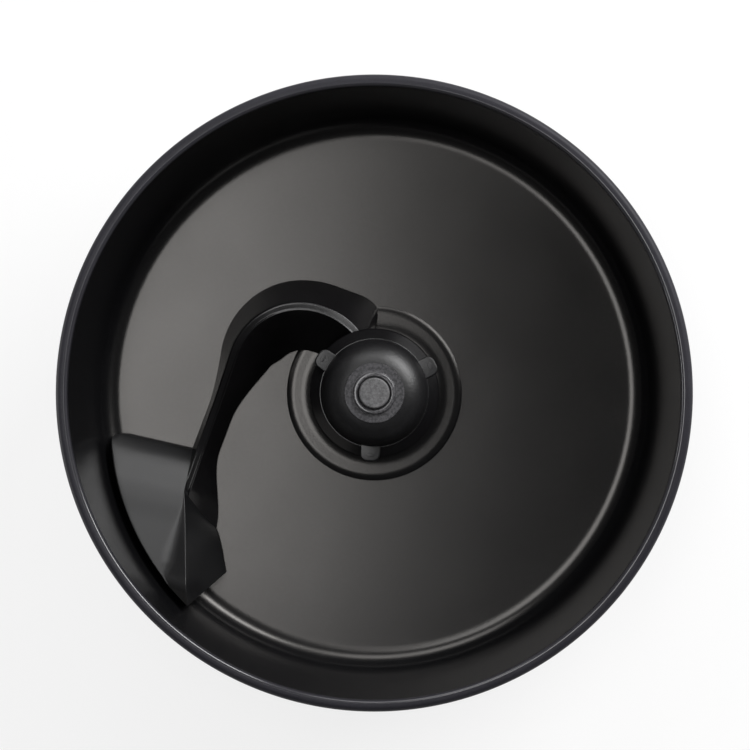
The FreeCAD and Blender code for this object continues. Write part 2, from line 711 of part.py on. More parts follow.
def make_wire_clip():
    x = clip_leg_x
    legs = [Part.LineSegment(Vector(x, CLIP_TAIL, clip_z), Vector(x, CLIP_BEND, clip_z)).toShape(),
            Part.Arc(Vector(x, CLIP_BEND, clip_z), Vector(0, CLIP_BEND - x, clip_z),
                     Vector(-x, CLIP_BEND, clip_z)).toShape(),
            Part.LineSegment(Vector(-x, CLIP_BEND, clip_z), Vector(-x, CLIP_TAIL, clip_z)).toShape()]
    ring = Part.Wire(Part.Circle(Vector(x, CLIP_TAIL, clip_z), Vector(0, 1, 0), CLIP_WIRE / 2).toShape())
    return Part.Wire(legs).makePipeShell([ring], True, False)


def make_all():
    pan = make_pan()
    room = paddle_room()
    arm = arm_block(room)
    seal_z = housing_z - SEAL_HEIGHT
    return {
        "bowl_pan": pan,
        "rim_trim": make_rim(pan),
        "foot_ring": make_foot_ring(),
        "foot_ring_nuts": make_foot_ring_nuts(),
        "foot_pads": make_foot_pads(),
        "bearing_housing": make_housing(),
        "housing_gasket": tube(FLANGE_RADIUS, BARREL_RADIUS + FIT_GAP, chimney_z, flange_z),
        "housing_nut": make_housing_nut(),
        "upper_bush": tube(BUSH_RADIUS, SHAFT_RADIUS + RUNNING_GAP, seal_z - BUSH_LENGTH, seal_z),
        "lower_bush": tube(BUSH_RADIUS, SHAFT_RADIUS + RUNNING_GAP, barrel_z, barrel_z + BUSH_LENGTH),
        "shaft_seal": tube(SEAL_RADIUS, SHAFT_RADIUS + RUNNING_GAP, seal_z, housing_z),
        "drive_shaft": make_shaft(),
        "thrust_washer": tube(WASHER_RADIUS, SHAFT_RADIUS, housing_z, head_z),
        "retaining_clip": make_retainer(),
        "drive_coupling": make_coupling(),
        "coupling_pin": make_pin(),
        "paddle_body": make_paddle_body(arm),
        "paddle_blade": make_blade(room, arm),
        "blade_screw": make_blade_screw(),
        "drive_insert": make_insert(),
        "wire_clip": make_wire_clip(),
        "hub_cap": make_cap(hub_block()),
        "button_bezel": make_bezel(),
        "release_button": make_button(),
        "button_spring": make_spring(),
    }


os.makedirs("parts", exist_ok=True)
for name, shape in make_all().items():
    if len(shape.Solids) == 1:
        shape = shape.Solids[0]
    shape.exportStep("parts/" + name + ".step")
    print(name, len(shape.Solids), round(shape.Volume / 1000, 2), shape.isValid())
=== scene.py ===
import math

import bmesh
import bpy
from mathutils import Matrix, Vector


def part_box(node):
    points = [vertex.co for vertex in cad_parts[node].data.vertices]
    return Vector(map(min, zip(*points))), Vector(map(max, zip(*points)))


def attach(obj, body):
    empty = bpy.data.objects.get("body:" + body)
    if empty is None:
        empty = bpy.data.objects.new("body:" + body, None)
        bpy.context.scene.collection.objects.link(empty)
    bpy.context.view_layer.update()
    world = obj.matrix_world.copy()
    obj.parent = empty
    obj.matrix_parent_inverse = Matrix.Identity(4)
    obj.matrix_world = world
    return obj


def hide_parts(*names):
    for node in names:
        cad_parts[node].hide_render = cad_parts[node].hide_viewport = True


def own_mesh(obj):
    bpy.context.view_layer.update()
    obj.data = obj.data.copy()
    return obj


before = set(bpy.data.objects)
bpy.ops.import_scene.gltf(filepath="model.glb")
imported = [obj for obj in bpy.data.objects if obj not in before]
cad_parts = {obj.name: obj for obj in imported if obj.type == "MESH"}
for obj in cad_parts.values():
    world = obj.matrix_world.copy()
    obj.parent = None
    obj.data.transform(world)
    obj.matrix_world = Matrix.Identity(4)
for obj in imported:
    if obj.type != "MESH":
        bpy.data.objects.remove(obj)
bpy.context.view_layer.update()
mm = 0.001
print("frame loaded,", len(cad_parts), "nodes")


class Signal:
    def __init__(self, tree, socket):
        self.tree = tree
        self.socket = socket

    def node(self, kind, settings=None, sockets=None, output=0):
        made = self.tree.nodes.new(kind)
        for key, value in (settings or {}).items():
            if key == "stops":
                fillRamp(made.color_ramp, value)
            else:
                setattr(made, key, value)
        for key, value in (sockets or {}).items():
            feed(self.tree, made.inputs[key], value)
        return Signal(self.tree, made.outputs[output])

    def maths(self, operation, first, second):
        return self.node("ShaderNodeMath", {"operation": operation}, {0: first, 1: second})

    def __add__(self, other):
        return self.maths("ADD", self, other)

    def __sub__(self, other):
        return self.maths("SUBTRACT", self, other)

    def __rsub__(self, other):
        return self.maths("SUBTRACT", other, self)

    def __mul__(self, other):
        return self.maths("MULTIPLY", self, other)

    def __pow__(self, other):
        return self.maths("POWER", self, other)

    __radd__ = __add__
    __rmul__ = __mul__


def feed(tree, socket, value):
    if isinstance(value, Signal):
        tree.links.new(value.socket, socket)
    else:
        socket.default_value = value


def fillRamp(ramp, stops):
    while len(ramp.elements) < len(stops):
        ramp.elements.new(1.0)
    for element, (position, colour) in zip(ramp.elements, stops):
        element.position = position
        element.color = (*colour, 1.0)


def newFinish(name):
    material = bpy.data.materials.new(name)
    material.use_nodes = True
    tree = material.node_tree
    place = Signal(tree, tree.nodes.new("ShaderNodeTexCoord").outputs["Object"])
    return material, place


def setShader(material, values):
    tree = material.node_tree
    shader = tree.nodes["Principled BSDF"]
    for key, value in values.items():
        feed(tree, shader.inputs[key], value)
    material.diffuse_color = (0.1, 0.1, 0.1, 1.0)
    return material


def grain(place, scale, detail=2.0, roughness=0.5):
    return place.node("ShaderNodeTexNoise", None,
                      {"Vector": place, "Scale": scale, "Detail": detail, "Roughness": roughness})


def reach(place):
    # distance from the bowl's axis, and the height
    x = place.node("ShaderNodeSeparateXYZ", None, {0: place})
    y = Signal(place.tree, x.socket.node.outputs[1])
    z = Signal(place.tree, x.socket.node.outputs[2])
    return (x * x + y * y) ** 0.5, z


def turnedLines(place, fineness):
    # fine rings left by a lathe, a brush or years of stirring, on walls too
    radius, z = reach(place)
    return place.node("ShaderNodeTexNoise", {"noise_dimensions": "1D"},
                      {"W": (radius + z * 0.83) * fineness, "Scale": 1.0, "Detail": 3.0})


def shades(place, value, stops):
    return place.node("ShaderNodeValToRGB", {"stops": stops}, {0: value})


def bumped(place, height, strength, distance):
    return place.node("ShaderNodeBump", None,
                      {"Strength": strength, "Distance": distance, "Height": height})


coatLook = {
    "dark": (0.003, 0.003, 0.0035), "fleck": (0.036, 0.036, 0.039), "fleckStops": (0.62, 0.78),
    "roughness": 0.2, "specular": 0.52, "tint": (1.0, 0.965, 0.93, 1.0), "peel": 0.08, "peelDepth": 0.0002,
    "fleckScale": 3600.0, "cloudScale": 28.0, "ringScale": 5200.0, "peelScale": 700.0,
}


def coatedFinish(name, look):
    # dark coat with small flecks and a slight orange peel
    material, place = newFinish(name)
    flecks = grain(place, look["fleckScale"], 1.0)
    cloud = grain(place, look["cloudScale"], 4.0)
    rings = turnedLines(place, look["ringScale"])
    low, high = look["fleckStops"]
    colour = shades(place, flecks, [(0.0, look["dark"]), (low, look["dark"]), (high, look["fleck"])])
    roughness = look["roughness"] + cloud * 0.07 + rings * 0.02
    peel = grain(place, look["peelScale"], 2.0) + flecks * 0.35 + rings * 0.02
    normal = bumped(place, peel, look["peel"], look["peelDepth"])
    return setShader(material, {"Base Color": colour, "Roughness": roughness, "Normal": normal,
                                "Specular IOR Level": look["specular"], "Specular Tint": look["tint"]})


mouldGrain = {"cloudScale": 45.0, "scuffScale": 160.0, "spread": 0.14, "sparkDepth": 0.00012, "specular": 0.5,
              "shineBlend": 0.0004, "shineRoughness": 0.1}
mouldLooks = {
    "rim": {"dark": (0.018, 0.0174, 0.0218), "light": (0.027, 0.0262, 0.0322), "roughness": 0.46,
            "texture": 1500.0, "depth": 0.1, "specular": 0.16, "shineRadius": 0.1409},
    "paddle": {"dark": (0.0032, 0.003, 0.0034), "light": (0.006, 0.0057, 0.0063), "roughness": 0.24,
               "texture": 900.0, "depth": 0.05},
    "cap": {"dark": (0.0042, 0.0041, 0.0046), "light": (0.0085, 0.0083, 0.0092), "roughness": 0.41,
            "texture": 850.0, "depth": 0.6, "spread": 0.09},
    "blade": {"dark": (0.0045, 0.0045, 0.0049), "light": (0.0085, 0.0085, 0.0091), "roughness": 0.31,
              "texture": 1300.0, "depth": 0.09},
    "bezel": {"dark": (0.022, 0.0216, 0.0236), "light": (0.064, 0.0625, 0.067), "roughness": 0.55,
              "texture": 760.0, "depth": 1.0, "spread": 0.06, "specular": 0.3, "shineRadius": 0.0098},
    "button": {"dark": (0.045, 0.0443, 0.0462), "light": (0.115, 0.1135, 0.117), "roughness": 0.52,
               "texture": 900.0, "depth": 0.45, "spread": 0.09},
    "coupling": {"dark": (0.05, 0.05, 0.054), "light": (0.085, 0.085, 0.09), "roughness": 0.5,
                 "texture": 1100.0, "depth": 0.2},
    "rubber": {"dark": (0.022, 0.022, 0.023), "light": (0.042, 0.042, 0.043), "roughness": 0.72,
               "texture": 1600.0, "depth": 0.3},
}


def mouldedFinish(name, ownLook):
    # spark-eroded mould texture with a faint flow cloud and scuffs
    look = {**mouldGrain, **ownLook}
    material, place = newFinish(name)
    spark = grain(place, look["texture"], 3.0, 0.6)
    cloud = grain(place, look["cloudScale"], 3.0)
    scuff = grain(place, look["scuffScale"], 5.0, 0.7)
    tone = spark * 0.55 + cloud * 0.3 + scuff * 0.15
    spread = look["spread"]
    colour = shades(place, tone, [(0.5 - spread, look["dark"]), (0.5 + spread, look["light"])])
    roughness = look["roughness"] - 0.06 + cloud * 0.07 + scuff * 0.05
    normal = bumped(place, spark + scuff * 0.12, look["depth"], look["sparkDepth"])
    values = {"Base Color": colour, "Roughness": roughness, "Normal": normal,
              "Specular IOR Level": look["specular"]}
    if "shineRadius" in look:
        # the moulding shines inside this radius
        edge = look["shineRadius"]
        matt = place.node("ShaderNodeMapRange", None, {"Value": reach(place)[0], "From Min": edge,
                                                       "From Max": edge + look["shineBlend"]})
        values["Coat Weight"] = 1 - matt
        values["Coat Roughness"] = look["shineRoughness"]
    return setShader(material, values)


metalGrain = {"pitScale": 2400.0, "tarnishScale": 60.0, "bump": 0.12, "bumpDepth": 0.0001,
              "stops": (0.3, 0.68)}
metalLooks = {
    "footSteel": {"dark": (0.42, 0.42, 0.43), "light": (0.62, 0.62, 0.63), "roughness": 0.3, "lines": 3800.0},
    "fastener": {"dark": (0.44, 0.44, 0.45), "light": (0.6, 0.6, 0.61), "roughness": 0.34, "lines": 6000.0},
    "alloy": {"dark": (0.5, 0.5, 0.51), "light": (0.68, 0.68, 0.69), "roughness": 0.33, "lines": 5000.0},
    "bronze": {"dark": (0.3, 0.18, 0.07), "light": (0.5, 0.33, 0.16), "roughness": 0.46, "lines": 2500.0},
    "shaftSteel": {"dark": (0.5, 0.5, 0.51), "light": (0.66, 0.66, 0.67), "roughness": 0.22,
                   "lines": 7000.0},
    "wire": {"dark": (0.48, 0.48, 0.49), "light": (0.68, 0.68, 0.69), "roughness": 0.26, "lines": 9000.0},
}


def metalFinish(name, ownLook):
    # turned metal with small pits and a little tarnish
    look = {**metalGrain, **ownLook}
    material, place = newFinish(name)
    lines = turnedLines(place, look["lines"])
    pits = grain(place, look["pitScale"], 2.0)
    tarnish = grain(place, look["tarnishScale"], 5.0, 0.65)
    low, high = look["stops"]
    colour = shades(place, lines * 0.35 + tarnish * 0.65, [(low, look["dark"]), (high, look["light"])])
    roughness = look["roughness"] - 0.08 + lines * 0.1 + tarnish * 0.12
    normal = bumped(place, lines + pits * 0.3, look["bump"], look["bumpDepth"])
    return setShader(material, {"Base Color": colour, "Metallic": 1.0, "Roughness": roughness,
                                "Normal": normal})


coating = coatedFinish("coatingBlack", coatLook)
moulded = {key: mouldedFinish(key + "Moulding", look) for key, look in mouldLooks.items()}
metals = {key: metalFinish(key + "Metal", look) for key, look in metalLooks.items()}
print("finishes made")


def cornerArc(before, corner, after, size, count, limit=0.48):
    # points of a round between two straight runs
    corner = Vector(corner)
    first = (Vector(before) - corner).normalized()
    last = (Vector(after) - corner).normalized()
    half = first.angle(last) / 2
    shortest = min((Vector(before) - corner).length, (Vector(after) - corner).length)
    size = min(size, limit * shortest * math.tan(half))
    if size < 1e-4 or half > 1.5695:        # nothing to round, or nearly straight
        return [corner.copy() for _ in range(count + 1)]
    centre = corner + (first + last).normalized() * (size / math.sin(half))
    start = corner + first * (size / math.tan(half)) - centre
    end = corner + last * (size / math.tan(half)) - centre
    sweep = start.angle(end)
    points = []
    for step in range(count + 1):
        share = step / count
        points.append(centre + (start * math.sin((1 - share) * sweep) + end * math.sin(share * sweep))
                      / math.sin(sweep))
    return points


def roundedLoop(corners):
    # closed outline whose corners are (x, y) or (x, y, round)
    points = []
    for index, corner in enumerate(corners):
        size = corner[2] if len(corner) > 2 else 0.0
        if size == 0.0:
            points.append(Vector(corner[:2]))
            continue
        count = 5 if size < 1 else 10 if size < 5 else 18        # larger rounds get more points
        points += cornerArc(corners[index - 1][:2], corner[:2], corners[(index + 1) % len(corners)][:2],
                            size, count, 1.0)
    return points


def ovalOutline(place, halfX, halfY):
    turns = [math.radians(angle) for angle in range(0, 360, 15)]
    return [(place + halfX * math.cos(turn), halfY * math.sin(turn)) for turn in turns]


def supported(points, near=0.25, longest=5.0):
    # long runs get points close to their ends, so that rounds stay crisp under smooth shading
    dense = []
    for index, point in enumerate(points):
        after = points[(index + 1) % len(points)]
        run = (after - point).length
        dense.append(point)
        if run < 4 * near:
            continue
        pieces = max(1, math.ceil((run - 2 * near) / longest))
        shares = [near / run + (1 - 2 * near / run) * step / pieces for step in range(pieces + 1)]
        dense += [point.lerp(after, share) for share in shares]
    return dense


def sealed(mesh, merge):
    # merges doubles and turns the faces outwards
    work = bmesh.new()
    work.from_mesh(mesh)
    bmesh.ops.remove_doubles(work, verts=work.verts, dist=merge)
    bmesh.ops.dissolve_degenerate(work, dist=1e-7, edges=work.edges)
    bmesh.ops.recalc_face_normals(work, faces=work.faces)
    if work.calc_volume(signed=True) < 0:
        bmesh.ops.reverse_faces(work, faces=work.faces)
    work.to_mesh(mesh)
    work.free()
    return mesh


def meshOf(points, faces, merge=2e-7):
    mesh = bpy.data.meshes.new("shape")
    mesh.from_pydata([tuple(coordinate * mm for coordinate in point) for point in points], [], faces)
    return sealed(mesh, merge)


def turnedMesh(corners, segments):
    loop = supported(roundedLoop(corners))
    points = []
    faces = []
    for turn in range(segments):
        angle = 2 * math.pi * turn / segments
        points += [(r * math.cos(angle), r * math.sin(angle), z) for r, z in loop]
        here = turn * len(loop)
        there = (turn + 1) % segments * len(loop)
        for index in range(len(loop)):
            after = (index + 1) % len(loop)
            faces.append((here + index, here + after, there + after, there + index))
    return meshOf(points, faces)


def loftMesh(rows):
    # closed skin over sections of equal length, with both ends capped
    size = len(rows[0])
    points = [point for row in rows for point in row]
    faces = [tuple(range(size)), tuple(range(len(points) - size, len(points)))]
    for station in range(len(rows) - 1):
        here = station * size
        for index in range(size):
            after = (index + 1) % size
            faces.append((here + index, here + after, here + size + after, here + size + index))
    return meshOf(points, faces, 1e-5)


def plateMesh(outline, low, high, soften=0.0):
    # a flat plate with a softened top edge
    loop = roundedLoop(outline)
    size = len(loop)
    middle = sum(loop, Vector((0.0, 0.0))) / size
    rounds = 5        # levels of the softened edge
    levels = [(low, 0.0)]
    for step in range(rounds):
        angle = math.pi / 2 * step / (rounds - 1)
        levels.append((high - soften * (1 - math.sin(angle)), soften * (1 - math.cos(angle))))
    points = []
    for z, inset in levels:
        for index, point in enumerate(loop):
            tangent = (loop[(index + 1) % size] - loop[index - 1]).normalized()
            inward = Vector((-tangent.y, tangent.x))
            if inward.dot(middle - point) < 0:
                inward = -inward
            points.append((*(point + inward * inset), z))
    faces = [tuple(range(size)), tuple(range(rounds * size, (rounds + 1) * size))]
    for level in range(rounds):
        for index in range(size):
            after = (index + 1) % size
            faces.append((level * size + index, level * size + after,
                          (level + 1) * size + after, (level + 1) * size + index))
    return meshOf(points, faces)


def joined(meshes):
    work = bmesh.new()
    for mesh in meshes:
        work.from_mesh(mesh)
    mesh = bpy.data.meshes.new("shape")
    work.to_mesh(mesh)
    work.free()
    return mesh


def newPiece(name, meshes, material, body, nodes, crease=32.0):
    mesh = joined(meshes)
    mesh.name = name
    mesh.materials.clear()
    mesh.materials.append(material)
    mesh.polygons.foreach_set("material_index", [0] * len(mesh.polygons))
    mesh.shade_smooth()
    mesh.set_sharp_from_angle(angle=math.radians(crease))
    piece = bpy.data.objects.new(name, mesh)
    bpy.context.scene.collection.objects.link(piece)
    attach(piece, body)
    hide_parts(*nodes)
    print(name, len(mesh.polygons), "faces")
    return piece


def evaluated(mesh, addModifier):
    # runs one modifier on a mesh and keeps the plain result
    holder = bpy.data.objects.new("holder", mesh)
    bpy.context.scene.collection.objects.link(holder)
    addModifier(holder)
    graph = bpy.context.evaluated_depsgraph_get()
    graph.update()
    result = bpy.data.meshes.new_from_object(holder.evaluated_get(graph))
    bpy.data.objects.remove(holder)
    return result


def cutAway(mesh, cutterMesh):
    cutter = bpy.data.objects.new("cutter", cutterMesh)
    bpy.context.scene.collection.objects.link(cutter)

    def add(holder):
        modifier = holder.modifiers.new("cut", "BOOLEAN")
        modifier.operation = "DIFFERENCE"
        modifier.solver = "EXACT"
        modifier.object = cutter
    result = evaluated(mesh, add)
    bpy.data.objects.remove(cutter)
    return result


def newTree(name, inputs):
    tree = bpy.data.node_groups.new(name, "GeometryNodeTree")
    tree.interface.new_socket("Shape", in_out="INPUT", socket_type="NodeSocketGeometry")
    for label, kind in inputs.items():
        tree.interface.new_socket(label, in_out="INPUT", socket_type="NodeSocket" + kind)
    tree.interface.new_socket("Result", in_out="OUTPUT", socket_type="NodeSocketGeometry")
    return tree, tree.nodes.new("NodeGroupInput").outputs


def endTree(tree, source, shape):
    # real geometry with its finish
    real = tree.nodes.new("GeometryNodeRealizeInstances")
    finish = tree.nodes.new("GeometryNodeSetMaterial")
    target = tree.nodes.new("NodeGroupOutput")
    tree.links.new(shape, real.inputs[0])
    tree.links.new(real.outputs[0], finish.inputs[0])
    tree.links.new(source["Finish"], finish.inputs["Material"])
    tree.links.new(finish.outputs[0], target.inputs[0])
    return tree


def runTree(mesh, tree, values):
    inputs = {item.name: item.identifier for item in tree.interface.items_tree if item.in_out == "INPUT"}

    def add(holder):
        modifier = holder.modifiers.new(tree.name, "NODES")
        modifier.node_group = tree
        for label, value in values.items():
            modifier[inputs[label]] = value
    return evaluated(mesh, add)


def ringTree():
    # copies a shape around the bowl's axis
    tree, source = newTree("aroundAxis", {"Count": "Int", "Start": "Float", "Finish": "Material"})
    line = tree.nodes.new("GeometryNodeMeshLine")
    line.inputs["Offset"].default_value = (0.0, 0.0, 0.0)
    index = tree.nodes.new("GeometryNodeInputIndex")
    share = tree.nodes.new("ShaderNodeMath")
    share.operation = "DIVIDE"
    angle = tree.nodes.new("ShaderNodeMath")
    angle.operation = "MULTIPLY_ADD"
    angle.inputs[1].default_value = 2 * math.pi
    turn = tree.nodes.new("ShaderNodeCombineXYZ")
    copies = tree.nodes.new("GeometryNodeInstanceOnPoints")
    link = tree.links.new
    link(source["Count"], line.inputs["Count"])
    link(index.outputs[0], share.inputs[0])
    link(source["Count"], share.inputs[1])
    link(share.outputs[0], angle.inputs[0])
    link(source["Start"], angle.inputs[2])
    link(angle.outputs[0], turn.inputs["Z"])
    link(line.outputs[0], copies.inputs["Points"])
    link(source["Shape"], copies.inputs["Instance"])
    link(turn.outputs[0], copies.inputs["Rotation"])
    return endTree(tree, source, copies.outputs[0])


aroundAxis = ringTree()


def ringOf(mesh, count, start, material):
    return runTree(mesh, aroundAxis, {"Count": count, "Start": math.radians(start), "Finish": material})


def blendStep(value, low, high):
    share = min(max((value - low) / (high - low), 0.0), 1.0)
    return share * share * (3 - 2 * share)


def softMin(first, second, width):
    near = max(width - abs(first - second), 0.0) / width
    return min(first, second) - near * near * width / 4


def between(first, last, count):
    return [first.lerp(last, (step + 1) / (count + 1)) for step in range(count)]


# profiles are (radius, height) or (radius, height, round), in millimetres
bowl = {
    "profile": [
        (10.9, 45.5), (19.5, 45.5, 2.0), (25.5, 10.5, 12.0), (40.72, 10.5, 8.2), (42.6, 9.54),
        (42.7, 9.5, 0.05), (132.52, 9.5, 10.0), (140.4, 82.0), (142.9, 82.0), (134.76, 7.0, 12.5),
        (23.0, 7.0, 14.5), (17.0, 43.0, 1.0), (10.9, 43.0),
    ],
    "segments": 360, "floorZ": 9.5, "wallLean": math.radians(6.2),
    "studs": 3, "studStart": 90.0, "studCircle": 86.0, "studRadius": 3.0, "studLow": 2.2, "studHigh": 8.2,
}
stud = plateMesh(ovalOutline(bowl["studCircle"], bowl["studRadius"], bowl["studRadius"]),
                 bowl["studLow"], bowl["studHigh"])
studRing = ringOf(stud, bowl["studs"], bowl["studStart"], coating)
newPiece("bowlPan", [turnedMesh(bowl["profile"], bowl["segments"]), studRing], coating, "bowl",
         ["bowl_pan"])

rim = {
    "profile": [
        (139.6, 84.5, 1.6), (145.0, 84.5, 2.9), (145.0, 75.5, 0.5), (142.19, 75.5, 0.3),
        (142.9, 82.0), (140.4, 82.0), (140.18, 80.0), (139.6, 80.0, 0.25),
    ],
    "segments": 360,
}
newPiece("rimTrim", [turnedMesh(rim["profile"], rim["segments"])], moulded["rim"], "bowl",
         ["rim_trim"])


openBelow = 2.0        # hollows are cut this far below the foot
hub = {
    "profile": [
        (9.0, 50.8), (11.6, 50.8), (11.6, 53.5, 1.0), (27.8, 53.5, 2.0), (28.6, 21.5, 0.5), (31.2, 21.5, 0.8),
        (30.35, 52.3, 1.8), (25.45, 56.5, 0.25), (11.6, 56.5, 0.5), (11.6, 62.4), (9.0, 62.4),
    ],
    "room": [        # kept free of the arm, for the skirt, the chimney and the step
        (15.0, 2.0), (60.0, 2.0), (60.0, 11.4), (36.0, 11.4), (31.6, 13.6), (29.3, 17.5), (29.3, 55.2),
        (15.0, 55.2),
    ],
    "segments": 256, "roomSegments": 128,
}
arm = {
    "centre": Vector((-35.0, 7.0)), "radius": 34.0, "start": 25.0, "end": 159.3, "straight": 68.8,
    "rootHeight": 46.5, "tipHeight": 16.0, "fall": (0.33, 1.01), "tongueFall": 0.33,
    "rootOuter": 14.0, "tipOuter": 4.2, "outerTaper": (0.27, 0.74),
    "rootInner": 20.0, "tipInner": 8.6, "innerTaper": (0.43, 0.75),
    "rootRun": 26.0, "rootSkew": 34.0, "rootSpread": 4.0, "spreadFrom": 4.0, "noseRun": 6.0, "noseSteps": 14,
    "tongue": 17.0, "tongueInner": 20.5, "tongueFrom": 22.0,
    "ridgeFlat": 3.7, "ridgeLip": 0.3, "ridgeDip": 0.3, "bead": 1.0, "beadRise": 0.12,
    "rounds": (0.9, 0.7, 0.3), "roundSteps": (8, 5, 6),
    "footZ": 11.5, "stations": 170, "sideSteps": 12, "sideShare": 0.95,
    "wall": 2.6, "roofWalls": 1.9, "hollowFrom": 12.0, "hollowShort": 20.0, "hollowSteps": 60,
}
armArc = math.radians(arm["end"] - arm["start"]) * arm["radius"]
armLength = armArc + arm["straight"]
armEnd = armLength + arm["tongue"]
armAlong = Vector((-math.sin(math.radians(arm["end"])), math.cos(math.radians(arm["end"]))))


def armPoint(run):
    # place on the arm's line, and the direction across it
    angle = math.radians(arm["start"]) + min(run, armArc) / arm["radius"]
    out = Vector((math.cos(angle), math.sin(angle)))
    place = arm["centre"] + out * arm["radius"] + armAlong * max(run - armArc, 0.0)
    turn = angle + math.radians(arm["rootSkew"]) * (1 - blendStep(run, 0.0, arm["rootRun"]))
    return place, Vector((math.cos(turn), math.sin(turn)))


def armSizes(run):
    # height of the ridge, and distance to the outer and the inner foot
    share = min(run / armLength, 1.0)
    ridge = bowl["floorZ"] + arm["rootHeight"] - arm["tongueFall"] * max(run - armLength, 0.0)
    ridge += (arm["tipHeight"] - arm["rootHeight"]) * blendStep(share, *arm["fall"])
    outer = arm["rootOuter"] + (arm["tipOuter"] - arm["rootOuter"]) * blendStep(share, *arm["outerTaper"])
    outer += arm["rootSpread"] * (1 - blendStep(run, arm["spreadFrom"], arm["rootRun"]))
    outer *= math.sqrt(1.001 - (1 - min(run / arm["noseRun"], 1.0)) ** 2)        # round end at the root
    inner = arm["rootInner"] + (arm["tipInner"] - arm["rootInner"]) * blendStep(share, *arm["innerTaper"])
    inner += (arm["tongueInner"] - arm["tipInner"]) * blendStep(run, armLength - arm["tongueFrom"], armEnd)
    return ridge, outer, inner


def armSection(run):
    # skin from the outer foot over the ridge to the inner foot, and the hollow under it
    ridge, outer, inner = armSizes(run)
    foot = arm["footZ"]
    height = ridge - foot
    drop = arm["ridgeFlat"] * height / (outer + inner)
    top = ridge - drop
    edge = -inner * drop / height
    skin = [Vector((outer, foot)), Vector((outer * drop / height, top + arm["ridgeLip"])),
            Vector((edge + arm["bead"], top - arm["ridgeDip"])),
            Vector((edge + arm["beadRise"], top + arm["beadRise"])), Vector((-inner, foot))]
    steps = arm["sideSteps"]
    shares = [step / steps * arm["sideShare"] for step in range(steps)]
    line = [skin[0].lerp(skin[1], share) for share in shares]
    for index, (size, count) in enumerate(zip(arm["rounds"], arm["roundSteps"])):
        line += cornerArc(skin[index], skin[index + 1], skin[index + 2], size, count)
    line += [skin[4].lerp(skin[3], share) for share in reversed(shares)]
    outerFoot = outer - math.hypot(outer, height) / height * arm["wall"]
    innerFoot = -inner + math.hypot(inner, height) / height * arm["wall"]
    hollow = [Vector((outerFoot, foot - openBelow)), Vector((outerFoot, foot)),
              Vector((0.0, top - arm["wall"] * arm["roofWalls"])),
              Vector((innerFoot, foot)), Vector((innerFoot, foot - openBelow))]
    return line, hollow


def sweptMesh(runs, part):
    rows = []
    for run in runs:
        place, out = armPoint(run)
        rows.append([(*(place + out * across), z) for across, z in armSection(run)[part]])
    return loftMesh(rows)


def armMesh():
    nose = arm["noseRun"]
    bends = [math.pi / 2 * step / arm["noseSteps"] for step in range(arm["noseSteps"])]
    runs = [nose * (1 - math.cos(bend)) for bend in bends]
    runs += [nose + (armEnd - nose) * step / arm["stations"] for step in range(arm["stations"] + 1)]
    hollowLength = armLength - arm["hollowFrom"] - arm["hollowShort"]
    hollowShares = [step / arm["hollowSteps"] for step in range(arm["hollowSteps"] + 1)]
    hollowRuns = [arm["hollowFrom"] + hollowLength * share for share in hollowShares]
    hollowed = cutAway(sweptMesh(runs, 0), sweptMesh(hollowRuns, 1))
    return cutAway(hollowed, turnedMesh(hub["room"], hub["roomSegments"]))


newPiece("paddleArm", [turnedMesh(hub["profile"], hub["segments"]), armMesh()], moulded["paddle"], "paddle",
         ["paddle_body"])


# a section gives the station along the blade, the height, and where the ridge and the inner foot are
blade = {
    "angle": 167.2, "wall": 3.0, "footZ": 11.5, "wallRadius": 129.02, "cornerRound": 8.0, "stations": 110,
    "nose": -18.7, "noseRound": 4.5, "tip": 52.3, "tail": ((-27.8, 36.7), (-15.3, 52.6)), "tailRound": 0.9,
    "edgeRound": 0.9, "ridgeRound": 0.2, "plateau": -1.2, "plateauFrom": (0.0, 10.0), "plateauRound": 16.0,
    "facetRise": 0.58, "browBlend": 5.0, "thinnest": 0.4, "hair": 0.01, "crease": 40.0,
    "arcSteps": 5, "foldSteps": 8, "topSteps": 15, "facetSteps": 7, "innerSteps": 13,
    "pocket": (6.0, 38.0), "pocketTop": 1.15, "pocketRidge": 0.3, "pocketFoot": 1.2,
    "sideShares": (0.0, 0.06, 0.14, 0.24, 0.36, 0.5, 0.64, 0.78),
    "sections": ((-18.7, 2.7, -2.6, -2.7), (-17.6, 4.6, -2.5, -2.7), (-11.0, 10.0, -1.5, -2.5),
                 (0.0, 16.0, 0.0, -3.0), (8.0, 19.8, -2.2, -9.4), (18.0, 24.2, -5.2, -19.0),
                 (36.7, 32.7, -10.7, -27.8), (60.0, 43.4, -17.5, -38.8)),
}
bladeOrigin = armPoint(armLength)[0]
noseAlong = Vector((math.cos(math.radians(blade["angle"])), math.sin(math.radians(blade["angle"]))))
noseBack = Vector((-noseAlong.y, noseAlong.x))


def bladeValues(station):
    # smooth curve through the listed sections
    rows = blade["sections"]
    index = max(i for i in range(len(rows) - 1) if station >= rows[i][0] or i == 0)
    low, high = rows[index], rows[index + 1]
    before = rows[max(index - 1, 0)]
    after = rows[min(index + 2, len(rows) - 1)]
    step = high[0] - low[0]
    share = (station - low[0]) / step
    values = []
    for column in (1, 2, 3):
        enter = (high[column] - before[column]) / (high[0] - before[0]) * step
        leave = (after[column] - low[column]) / (after[0] - low[0]) * step
        rise = high[column] - low[column]
        values.append(low[column] + enter * share + (3 * rise - 2 * enter - leave) * share ** 2
                      + (enter + leave - 2 * rise) * share ** 3)
    return values


def wallLimit(z):
    # furthest that the blade may reach towards the wall
    rounding = blade["cornerRound"]
    foot = blade["wallRadius"] - rounding / math.tan((math.pi / 2 + bowl["wallLean"]) / 2)
    drop = blade["footZ"] + rounding - z
    if drop > rounding * math.sin(bowl["wallLean"]):
        return foot + math.sqrt(max(rounding ** 2 - drop ** 2, 0.0))
    return blade["wallRadius"] + (z - blade["footZ"]) * math.tan(bowl["wallLean"])


